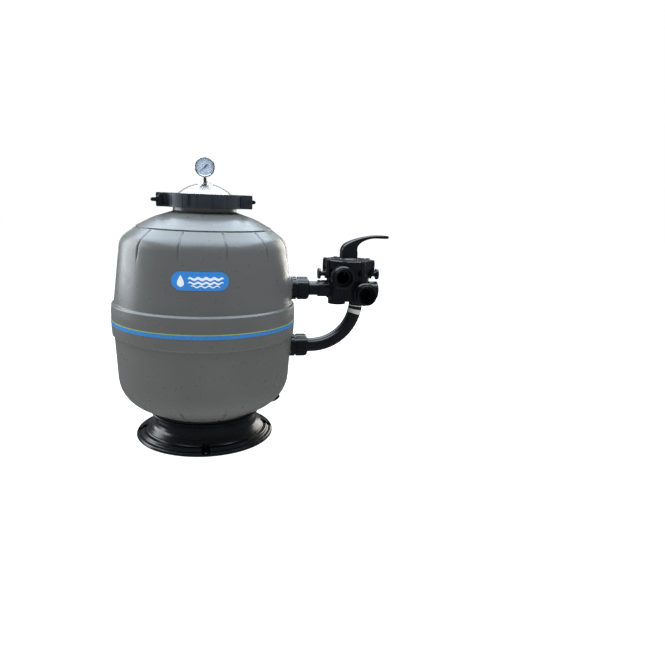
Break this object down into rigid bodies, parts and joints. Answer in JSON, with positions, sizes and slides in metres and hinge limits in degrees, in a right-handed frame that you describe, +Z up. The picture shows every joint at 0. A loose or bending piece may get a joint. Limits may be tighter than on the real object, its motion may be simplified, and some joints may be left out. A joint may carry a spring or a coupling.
{
  "type": "sand filter tank",
  "caption": "Side-mount sand filter tank on a stepped pedestal, with a clear domed lid, clamp ring, pressure gauge and a multiport valve on unions.",
  "frame": {"origin": "centre of the anchor-bolt circle on the floor, on the tank's axis", "axes": "+Z up along the tank's axis, +X towards the valve, -Y towards the label"},
  "size_m": [0.9787, 0.6316, 0.9695],
  "materials": {
    "tank_plastic": "semi-gloss moulded",
    "stripe_film": "gloss film",
    "line_film": "gloss film",
    "label_film": "gloss film",
    "black_plastic": "satin moulded",
    "slate_plastic": "fine textured",
    "clear_plastic": "clear polished",
    "brass": "machined",
    "steel": "polished",
    "rubber": "matt",
    "dial": "matt printed",
    "needle": "matt",
    "lens": "clear",
    "inner_plastic": "plain moulded",
    "sticker": "paper film"
  },
  "bodies": {
    "tank": {"base_pedestal": "black_plastic", "tank_shell": "tank_plastic", "band_stripe": "stripe_film", "band_pinstripe": "line_film", "front_label": "label_film", "lid_dome": "clear_plastic", "lid_o_ring": "rubber", "gauge_stem": "brass", "gauge_case": "steel", "gauge_bezel": "steel", "gauge_dial": "dial", "gauge_lens": "lens", "upper_bulkhead": "black_plastic", "lower_bulkhead": "black_plastic", "bulkhead_gaskets": "rubber", "bulkhead_lock_nuts": "black_plastic", "union_tails": "black_plastic", "union_o_rings": "rubber", "connecting_pipe": "black_plastic", "bent_pipe": "black_plastic", "pipe_sticker": "sticker", "drain_spigot": "black_plastic", "drain_lock_nut": "black_plastic", "inlet_pipe": "inner_plastic", "inlet_diffuser": "inner_plastic", "outlet_pipe": "inner_plastic", "lateral_hub": "inner_plastic", "laterals": "inner_plastic", "air_relief_tube": "inner_plastic", "air_relief_strainer": "inner_plastic", "valve_body": "black_plastic", "valve_lid": "black_plastic", "valve_lid_screws": "steel", "valve_lid_o_ring": "rubber", "spider_gasket": "rubber", "port_tails": "black_plastic", "port_e_cap": "black_plastic", "valve_side_plugs": "black_plastic"},
    "clamp_front": {"clamp_front_half": "slate_plastic", "clamp_washer_left": "steel", "clamp_bolt_right": "steel"},
    "clamp_back": {"clamp_back_half": "slate_plastic", "clamp_washer_right": "steel", "clamp_bolt_left": "steel"},
    "knob_left": {"clamp_knob_left": "black_plastic"},
    "knob_right": {"clamp_knob_right": "black_plastic"},
    "needle": {"gauge_needle": "needle"},
    "bleed_washer": {"bleed_seal": "rubber"},
    "bleed_screw": {"bleed_screw": "black_plastic"},
    "drain_washer": {"drain_seal": "rubber"},
    "drain_cap": {"drain_cap": "black_plastic"},
    "turning_washer": {"stem_washer": "inner_plastic", "rotor_spring": "steel"},
    "rotor": {"rotor": "black_plastic", "handle_pin": "steel"},
    "handle": {"handle": "black_plastic"},
    "upper_nut": {"upper_union_nut": "black_plastic"},
    "lower_nut": {"lower_union_nut": "black_plastic"},
    "nut_a": {"port_a_nut": "black_plastic"},
    "nut_b": {"port_b_nut": "black_plastic"}
  },
  "joints": [
    {"name": "knob_left_turn", "type": "hinge", "parent": "clamp_front", "child": "knob_left", "pos_m": [-0.149, -0.04, 0.825], "axis": [0, -1, 0], "range_deg": [0, 1441]},
    {"name": "clamp_front_slide", "type": "slide", "parent": "tank", "child": "clamp_front", "axis": [0, -1, 0], "range_m": [0, 0.0025]},
    {"name": "clamp_back_slide", "type": "slide", "parent": "tank", "child": "clamp_back", "axis": [0, 1, 0], "range_m": [0, 0.00251]},
    {"name": "knob_right_turn", "type": "hinge", "parent": "clamp_back", "child": "knob_right", "pos_m": [0.149, 0.04, 0.825], "axis": [0, 1, 0], "range_deg": [0, 1441]},
    {"name": "gauge_needle_turn", "type": "hinge", "parent": "tank", "child": "needle", "pos_m": [0, -0.012, 0.936], "axis": [0, 1, 0], "range_deg": [0, 270], "stiffness_Nm_per_rad": 0.00002},
    {"name": "bleed_screw_turn", "type": "hinge", "parent": "bleed_washer", "child": "bleed_screw", "pos_m": [0.019, 0, 0.885], "axis": [0, 0, 1], "range_deg": [0, 1081]},
    {"name": "bleed_screw_rise", "type": "slide", "parent": "tank", "child": "bleed_washer", "axis": [0, 0, 1], "range_m": [0, 0.003]},
    {"name": "drain_cap_turn", "type": "hinge", "parent": "drain_washer", "child": "drain_cap", "pos_m": [0.24259, 0, 0.13103], "axis": [0.5407, 0, -0.8412], "range_deg": [0, 1080]},
    {"name": "drain_cap_travel", "type": "slide", "parent": "tank", "child": "drain_washer", "axis": [0.5407, 0, -0.8412], "range_m": [0, 0.00901]},
    {"name": "rotor_turn", "type": "hinge", "parent": "tank", "child": "turning_washer", "pos_m": [0.511, 0, 0.6], "axis": [0, 0, 1], "continuous": true},
    {"name": "rotor_lift", "type": "slide", "parent": "turning_washer", "child": "rotor", "axis": [0, 0, 1], "range_m": [0, 0.00487], "deforming": ["rotor_spring"]},
    {"name": "handle_press", "type": "hinge", "parent": "rotor", "child": "handle", "pos_m": [0.511, 0, 0.65943], "axis": [0, 1, 0], "range_deg": [0, 20]},
    {"name": "upper_nut_turn", "type": "hinge", "parent": "tank", "child": "upper_nut", "pos_m": [0.34, 0, 0.529], "axis": [1, 0, 0], "range_deg": [0, 1080]},
    {"name": "lower_nut_turn", "type": "hinge", "parent": "tank", "child": "lower_nut", "pos_m": [0.34, 0, 0.318], "axis": [1, 0, 0], "range_deg": [0, 1080]},
    {"name": "nut_a_turn", "type": "hinge", "parent": "tank", "child": "nut_a", "pos_m": [0.468, -0.1, 0.582], "axis": [0, -1, 0], "range_deg": [0, 1080]},
    {"name": "nut_b_turn", "type": "hinge", "parent": "tank", "child": "nut_b", "pos_m": [0.552, -0.09, 0.522], "axis": [0, -1, 0], "range_deg": [0, 1080]}
  ],
  "couplings": [
    {"joint": "clamp_back_slide", "follows": "clamp_front_slide", "ratio": 1},
    {"joint": "knob_left_turn", "follows": "clamp_front_slide", "rad_per_m": 10053},
    {"joint": "knob_right_turn", "follows": "clamp_front_slide", "rad_per_m": 10053},
    {"joint": "bleed_screw_turn", "follows": "bleed_screw_rise", "rad_per_m": 6283.2},
    {"joint": "drain_cap_travel", "follows": "drain_cap_turn", "m_per_rad": 0.00047746},
    {"joint": "rotor_lift", "follows": "handle_press", "m_per_rad": 0.01393}
  ]
}
